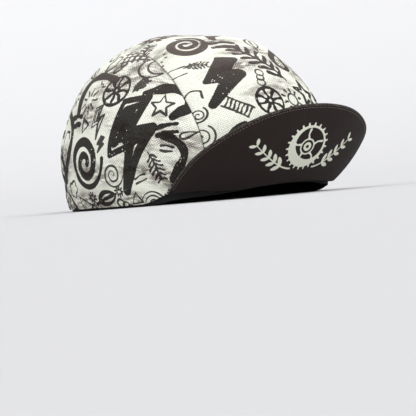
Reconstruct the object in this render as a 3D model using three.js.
import * as THREE from 'three';

// A three-panel cycling cap that rests on its rim, with its short peak flipped up.
// Millimetres, +Z up. The brow faces -Y and the wearer's right side faces -X.
// An azimuth is measured round the rim in degrees, from the brow towards the wearer's right.
// A fan angle turns about the line from side to side: 0 at the brow, 90 on top, 180 at the nape.

// Driving dimensions of the crown
const BROW_REACH = 97; // from the widest section forward to the rim at the brow
const NAPE_REACH = 95; // from the widest section back to the rim at the nape
const RIM_HALF_WIDTH = 78;
const CROWN_HEIGHT = 106;
const STRIP_HALF_WIDTH = 50; // widest half of the centre panel, above the brow
const CLOTH_WALL = 1.6;
const SEW_GAP = 0.3; // clearance between pieces that are sewn together
const PANEL_PUFF = 1.5; // how far a panel swells out between its sewn edges
const PUFF_RISE = 6; // distance from a sewn edge over which it swells

// Driving dimensions of the rim and the sweatband
const RIM_ARCH = 7; // lift of the rim at the brow, clear of the eyes
const BAND_HEIGHT = 27;
const BAND_WALL = 1.2;
const BAND_SHOWN = 1.4; // band seen below the cloth
const BAND_SHOWN_AT_TEMPLE = 5; // band seen below the ends of the peak

// Driving dimensions of the peak
const PEAK_DEPTH = 51; // from its sewn root to its edge, at the middle
const PEAK_WALL = 2.4;
const PEAK_HALF_ANGLE = 49.5; // azimuth of each end
const PEAK_ROOT_RISE = 0.4; // root line above the cloth's lower edge
const PEAK_BOW = 2; // how far its face bulges forward
const PEAK_ROUNDNESS = 2.9; // exponent of its outline towards the middle
const PEAK_TAPER = 1.48; // exponent of its outline towards the ends
const PEAK_TIP = 0.97; // share of the half angle where the tip is cut blunt

// Mesh steps
const STRIP_STEPS = { along: 40, across: 12 };
const SIDE_STEPS = { along: 40, across: 11 };
const PEAK_STEPS = { along: 40, across: 4 };
const BAND_STEPS = { around: 72, up: 3 };
const CORNER_SHARE = 0.004; // a side panel stops this share of its length before its corners
const SOLVER_PASSES = 12;

// The crown's radius at each elevation, as a share of the plain ellipse through rim and top
const CROWN_FULLNESS = [
  { elevation: 0, brow: 1, side: 1, nape: 1 },
  { elevation: 15, brow: 1.025, side: 1.065, nape: 1.01 },
  { elevation: 30, brow: 1.045, side: 1.12, nape: 1.03 },
  { elevation: 45, brow: 1.045, side: 1.13, nape: 1.045 },
  { elevation: 60, brow: 1.03, side: 1.105, nape: 1.045 },
  { elevation: 75, brow: 1.01, side: 1.045, nape: 1.02 },
  { elevation: 90, brow: 1, side: 1, nape: 1 },
];

// Half width of the centre panel at each fan angle, as a share of STRIP_HALF_WIDTH
const STRIP_WIDTHS = [
  { fan: 0, half: 0.99 },
  { fan: 20, half: 0.99 },
  { fan: 45, half: 1 },
  { fan: 60, half: 0.98 },
  { fan: 75, half: 0.93 },
  { fan: 90, half: 0.87 },
  { fan: 120, half: 0.79 },
  { fan: 150, half: 0.74 },
  { fan: 168, half: 0.72 },
  { fan: 180, half: 0.72 },
];

// The rim's lift as a share of RIM_ARCH, and how far the band shows,
// from 0 for BAND_SHOWN to 1 for BAND_SHOWN_AT_TEMPLE
const RIM_SHAPE = [
  { azimuth: 0, lift: 1, shown: 0 },
  { azimuth: 12, lift: 0.9, shown: 0 },
  { azimuth: 21, lift: 0.68, shown: 0.12 },
  { azimuth: 30, lift: 0.52, shown: 0.55 },
  { azimuth: 38, lift: 0.45, shown: 0.95 },
  { azimuth: 46, lift: 0.36, shown: 1 },
  { azimuth: 52, lift: 0.2, shown: 0.7 },
  { azimuth: 58, lift: 0.05, shown: 0.2 },
  { azimuth: 63, lift: 0, shown: 0 },
  { azimuth: 180, lift: 0, shown: 0 },
];

// How far the flipped-up peak leans out from upright, in degrees, from its middle to its end
const PEAK_LEANS = [
  { turn: 0, lean: 30 },
  { turn: 0.35, lean: 34.5 },
  { turn: 0.6, lean: 40.5 },
  { turn: 0.8, lean: 43 },
  { turn: 1, lean: 39 },
];

// Soft folds in each side panel, where the puff is pressed in. Each one is a short line
// with its middle at an azimuth and elevation; length and breadth are half sizes in degrees.
const SIDE_FOLDS = [
  { azimuth: 62, elevation: 11, length: 15, breadth: 3.2, slope: 0.12, share: 0.9 },
  { azimuth: 74, elevation: 21, length: 12, breadth: 3.4, slope: 0.2, share: 0.6 },
  { azimuth: 128, elevation: 13, length: 14, breadth: 3.4, slope: -0.15, share: 0.7 },
];

const COLOURS = { cloth: 0xeceedd, peak: 0x2b2624, band: 0x121214 };
const FINISHES = {
  cloth: { roughness: 0.85, metalness: 0 },
  peak: { roughness: 0.75, metalness: 0 },
  band: { roughness: 0.8, metalness: 0 },
};

const UP = new THREE.Vector3(0, 0, 1);
const { degToRad, radToDeg, lerp, clamp } = THREE.MathUtils;

// Slope of a table's curve at a row: flat at both ends and where the values turn
function slopeAt(rows, key, column, i) {
  if (i === 0 || i === rows.length - 1) return 0;
  const before = (rows[i][column] - rows[i - 1][column]) / (rows[i][key] - rows[i - 1][key]);
  const after = (rows[i + 1][column] - rows[i][column]) / (rows[i + 1][key] - rows[i][key]);
  return before * after > 0 ? (2 * before * after) / (before + after) : 0;
}

// Smooth value of a table's column between its rows
function tableValue(rows, key, column, at) {
  const value = clamp(at, rows[0][key], rows[rows.length - 1][key]);
  const i = Math.max(0, rows.findIndex((row) => row[key] >= value) - 1);
  const [low, high] = [rows[i], rows[i + 1]];
  const span = high[key] - low[key];
  const t = (value - low[key]) / span;
  const rise = t * t * (3 - 2 * t);
  const bend = t * (1 - t) * span;
  const slopes = (1 - t) * slopeAt(rows, key, column, i) - t * slopeAt(rows, key, column, i + 1);
  return lerp(low[column], high[column], rise) + bend * slopes;
}

function directionAt(azimuth, elevation) {
  const [a, e] = [degToRad(azimuth), degToRad(elevation)];
  return new THREE.Vector3(-Math.sin(a) * Math.cos(e), -Math.cos(a) * Math.cos(e), Math.sin(e));
}

const azimuthOf = (point) => radToDeg(Math.atan2(-point.x, -point.y));
const fanOf = (point) => radToDeg(Math.atan2(point.z, -point.y));

// The crown's sewn form: the surface that its seams and rim lie on
function crownPoint(direction) {
  const level = Math.max(Math.hypot(direction.x, direction.y), 1e-9);
  const elevation = radToDeg(Math.atan2(direction.z, level));
  const radiusAt = (reach, column) =>
    tableValue(CROWN_FULLNESS, 'elevation', column, elevation) /
    Math.hypot(level / reach, direction.z / CROWN_HEIGHT);
  const along = direction.y < 0 ? radiusAt(BROW_REACH, 'brow') : radiusAt(NAPE_REACH, 'nape');
  const across = radiusAt(RIM_HALF_WIDTH, 'side');
  const radius = 1 / Math.hypot(direction.y / level / along, direction.x / level / across);
  return direction.clone().multiplyScalar(radius);
}

function crownNormal(direction) {
  const step = 0.002;
  const helper = Math.abs(direction.z) < 0.9 ? UP : new THREE.Vector3(1, 0, 0);
  const first = new THREE.Vector3().crossVectors(helper, direction).normalize();
  const second = new THREE.Vector3().crossVectors(direction, first);
  const across = (side) =>
    crownPoint(direction.clone().addScaledVector(side, step).normalize()).sub(
      crownPoint(direction.clone().addScaledVector(side, -step).normalize()),
    );
  return across(first).cross(across(second)).normalize();
}

// A point of the crown at an azimuth and a height above the floor
function wallPoint(azimuth, height) {
  let elevation = 0;
  for (let pass = 0; pass < SOLVER_PASSES; pass += 1) {
    const radius = crownPoint(directionAt(azimuth, elevation)).length();
    elevation = radToDeg(Math.asin(height / radius));
  }
  return crownPoint(directionAt(azimuth, elevation));
}

const rimValue = (azimuth, column) => tableValue(RIM_SHAPE, 'azimuth', column, Math.abs(azimuth));
const bandFoot = (azimuth) => RIM_ARCH * rimValue(azimuth, 'lift');
const clothEdge = (azimuth) =>
  bandFoot(azimuth) + lerp(BAND_SHOWN, BAND_SHOWN_AT_TEMPLE, rimValue(azimuth, 'shown'));
const rimPoint = (azimuth) => wallPoint(azimuth, clothEdge(azimuth));
const stripHalf = (fan) => STRIP_HALF_WIDTH * tableValue(STRIP_WIDTHS, 'fan', 'half', fan);

// The rim point that lies a given distance to the side of the middle, at the brow or nape
function rimPointBeside(lateral, atNape) {
  let azimuth = atNape ? 180 : 0;
  for (let pass = 0; pass < SOLVER_PASSES; pass += 1) {
    const rim = rimPoint(azimuth);
    const turn = radToDeg(Math.asin(lateral / Math.hypot(rim.x, rim.y)));
    azimuth = atNape ? 180 - turn : turn;
  }
  return rimPoint(azimuth);
}

// The crown's direction at a fan angle and a distance to the side of the middle
function stripDirection(fan, lateral) {
  const turn = degToRad(fan);
  let aside = 0;
  let direction;
  for (let pass = 0; pass < SOLVER_PASSES; pass += 1) {
    const level = Math.cos(aside);
    direction = new THREE.Vector3(-Math.sin(aside), -level * Math.cos(turn), level * Math.sin(turn));
    aside = Math.asin(lateral / crownPoint(direction).length());
  }
  return direction;
}

const swell = (distance) => 1 - Math.exp(-Math.max(distance, 0) / PUFF_RISE);

function foldShare(azimuth, elevation) {
  const shares = SIDE_FOLDS.map((fold) => {
    const along = (Math.abs(azimuth) - fold.azimuth) / fold.length;
    const off = elevation - fold.elevation - fold.slope * (Math.abs(azimuth) - fold.azimuth);
    return fold.share * Math.exp(-along * along - (off / fold.breadth) ** 2);
  });
  return Math.max(...shares);
}

// How far the cloth stands out from the sewn form at one of its points
function puffAt(point) {
  const azimuth = azimuthOf(point);
  const elevation = radToDeg(Math.atan2(point.z, Math.hypot(point.x, point.y)));
  const fromSeam = Math.abs(Math.abs(point.x) - stripHalf(fanOf(point)));
  const fromRim = point.z - clothEdge(azimuth);
  return PANEL_PUFF * swell(fromSeam) * swell(fromRim) * (1 - foldShare(azimuth, elevation));
}

// The outer and inner surface of the cloth in one direction
function clothPair(direction) {
  const point = crownPoint(direction);
  const normal = crownNormal(direction);
  const puff = puffAt(point);
  const outer = point.clone().addScaledVector(normal, puff);
  return [outer, outer.clone().addScaledVector(normal, -CLOTH_WALL)];
}

// A closed body from a list of points and quads, with its faces turned outward
function solidGeometry(points, quads) {
  const volume = (faces) =>
    faces.reduce((sum, [a, b, c]) => {
      const normal = new THREE.Vector3().crossVectors(points[b], points[c]);
      return sum + points[a].dot(normal);
    }, 0);
  const faces = quads.flatMap(([a, b, c, d]) => [[a, b, c], [a, c, d]]);
  const outward = volume(faces) > 0 ? faces : faces.map(([a, b, c]) => [a, c, b]);
  const geometry = new THREE.BufferGeometry().setFromPoints(points);
  geometry.setIndex(outward.flat());
  geometry.computeVertexNormals();
  return geometry;
}

// A wall between two surfaces. pairAt gives its two points at a share along and across.
function wallGeometry(steps, pairAt) {
  const columns = steps.along + 1;
  const rows = steps.across + 1;
  const sheets = [[], []];
  for (let i = 0; i < columns; i += 1) {
    for (let j = 0; j < rows; j += 1) {
      const pair = pairAt(i / steps.along, j / steps.across);
      sheets.forEach((sheet, side) => sheet.push(pair[side]));
    }
  }
  const at = (side, i, j) => side * columns * rows + i * rows + j;
  const quads = [];
  for (let i = 0; i < steps.along; i += 1) {
    for (let j = 0; j < steps.across; j += 1) {
      quads.push([at(0, i, j), at(0, i + 1, j), at(0, i + 1, j + 1), at(0, i, j + 1)]);
      quads.push([at(1, i, j), at(1, i, j + 1), at(1, i + 1, j + 1), at(1, i + 1, j)]);
    }
  }
  for (let i = 0; i < steps.along; i += 1) {
    quads.push([at(0, i, 0), at(1, i, 0), at(1, i + 1, 0), at(0, i + 1, 0)]);
    const top = steps.across;
    quads.push([at(0, i, top), at(0, i + 1, top), at(1, i + 1, top), at(1, i, top)]);
  }
  for (let j = 0; j < steps.across; j += 1) {
    quads.push([at(0, 0, j), at(0, 0, j + 1), at(1, 0, j + 1), at(1, 0, j)]);
    const end = steps.along;
    quads.push([at(0, end, j), at(1, end, j), at(1, end, j + 1), at(0, end, j + 1)]);
  }
  return solidGeometry(sheets.flat(), quads);
}

// The centre panel: a strip of cloth from the brow over the top to the nape
function centerPanelGeometry() {
  return wallGeometry(STRIP_STEPS, (along, across) => {
    const share = lerp(-1, 1, across);
    const lateralAt = (fan) => share * (stripHalf(fan) - SEW_GAP / 2);
    const start = fanOf(rimPointBeside(lateralAt(0), false));
    const end = fanOf(rimPointBeside(lateralAt(180), true));
    const fan = lerp(start, end, along);
    return clothPair(stripDirection(fan, lateralAt(fan)));
  });
}

// A side panel: D-shaped cloth between the seam above and the rim below
function sidePanelGeometry(side) {
  const seamLateral = (fan) => stripHalf(fan) + SEW_GAP / 2;
  const browCorner = rimPointBeside(seamLateral(0), false);
  const napeCorner = rimPointBeside(seamLateral(180), true);
  const mirror = new THREE.Vector3(side, 1, 1);
  return wallGeometry(SIDE_STEPS, (along, across) => {
    const share = lerp(CORNER_SHARE, 1 - CORNER_SHARE, along);
    const fan = lerp(fanOf(browCorner), fanOf(napeCorner), share);
    const seam = stripDirection(fan, seamLateral(fan));
    const rim = rimPoint(lerp(azimuthOf(browCorner), azimuthOf(napeCorner), share)).normalize();
    const pair = clothPair(seam.lerp(rim, across).normalize());
    return pair.map((point) => point.multiply(mirror));
  });
}

// The level direction out from the crown's wall at one of its points
function outwardAt(point) {
  const normal = crownNormal(point.clone().normalize());
  return normal.setZ(0).normalize();
}

// The sweatband: a ring of cloth inside the crown, from the rim up
function sweatbandGeometry() {
  const points = [];
  const outerInset = CLOTH_WALL + SEW_GAP;
  const insets = [outerInset, outerInset + BAND_WALL];
  const levels = BAND_STEPS.up + 1;
  for (let i = 0; i < BAND_STEPS.around; i += 1) {
    const azimuth = lerp(-180, 180, i / BAND_STEPS.around);
    const foot = bandFoot(azimuth);
    insets.forEach((inset, side) => {
      for (let j = 0; j < levels; j += 1) {
        const up = (side === 0 ? j : BAND_STEPS.up - j) / BAND_STEPS.up;
        const wall = wallPoint(azimuth, foot + BAND_HEIGHT * up);
        points.push(wall.addScaledVector(outwardAt(wall), -inset));
      }
    });
  }
  const loop = 2 * levels;
  const at = (i, j) => (i % BAND_STEPS.around) * loop + (j % loop);
  const quads = [];
  for (let i = 0; i < BAND_STEPS.around; i += 1) {
    for (let j = 0; j < loop; j += 1) {
      quads.push([at(i, j), at(i + 1, j), at(i + 1, j + 1), at(i, j + 1)]);
    }
  }
  return solidGeometry(points, quads);
}

// The peak: a board that leans out from its root on the brow
function peakGeometry() {
  return wallGeometry(PEAK_STEPS, (along, across) => {
    const turn = lerp(-PEAK_TIP, PEAK_TIP, along);
    const azimuth = turn * PEAK_HALF_ANGLE;
    const wall = wallPoint(azimuth, clothEdge(azimuth) + PEAK_ROOT_RISE);
    const outward = outwardAt(wall);
    const lean = degToRad(tableValue(PEAK_LEANS, 'turn', 'lean', Math.abs(turn)));
    const outline = (1 - Math.abs(turn) ** PEAK_ROUNDNESS) ** PEAK_TAPER;
    const depth = PEAK_DEPTH * outline * across;
    const bow = PEAK_BOW * outline * 4 * across * (1 - across);
    const slant = outward.clone().multiplyScalar(Math.sin(lean)).addScaledVector(UP, Math.cos(lean));
    const facing = outward.clone().multiplyScalar(Math.cos(lean)).addScaledVector(UP, -Math.sin(lean));
    const back = wall
      .addScaledVector(outward, puffAt(wall) + SEW_GAP)
      .addScaledVector(slant, depth)
      .addScaledVector(facing, bow);
    return [back.clone().addScaledVector(facing, PEAK_WALL), back];
  });
}

function piece(name, geometry, finish) {
  const material = new THREE.MeshStandardMaterial({ color: COLOURS[finish], ...FINISHES[finish] });
  const mesh = new THREE.Mesh(geometry, material);
  mesh.name = name;
  return mesh;
}

const cap = new THREE.Group();
cap.add(
  piece('center_panel', centerPanelGeometry(), 'cloth'),
  piece('side_panel_right', sidePanelGeometry(1), 'cloth'),
  piece('side_panel_left', sidePanelGeometry(-1), 'cloth'),
  piece('peak', peakGeometry(), 'peak'),
  piece('sweatband', sweatbandGeometry(), 'band'),
);

// The origin is on the floor, below the middle of the whole cap
const extent = new THREE.Box3().setFromObject(cap);
cap.position.y = -(extent.min.y + extent.max.y) / 2;

export default cap;
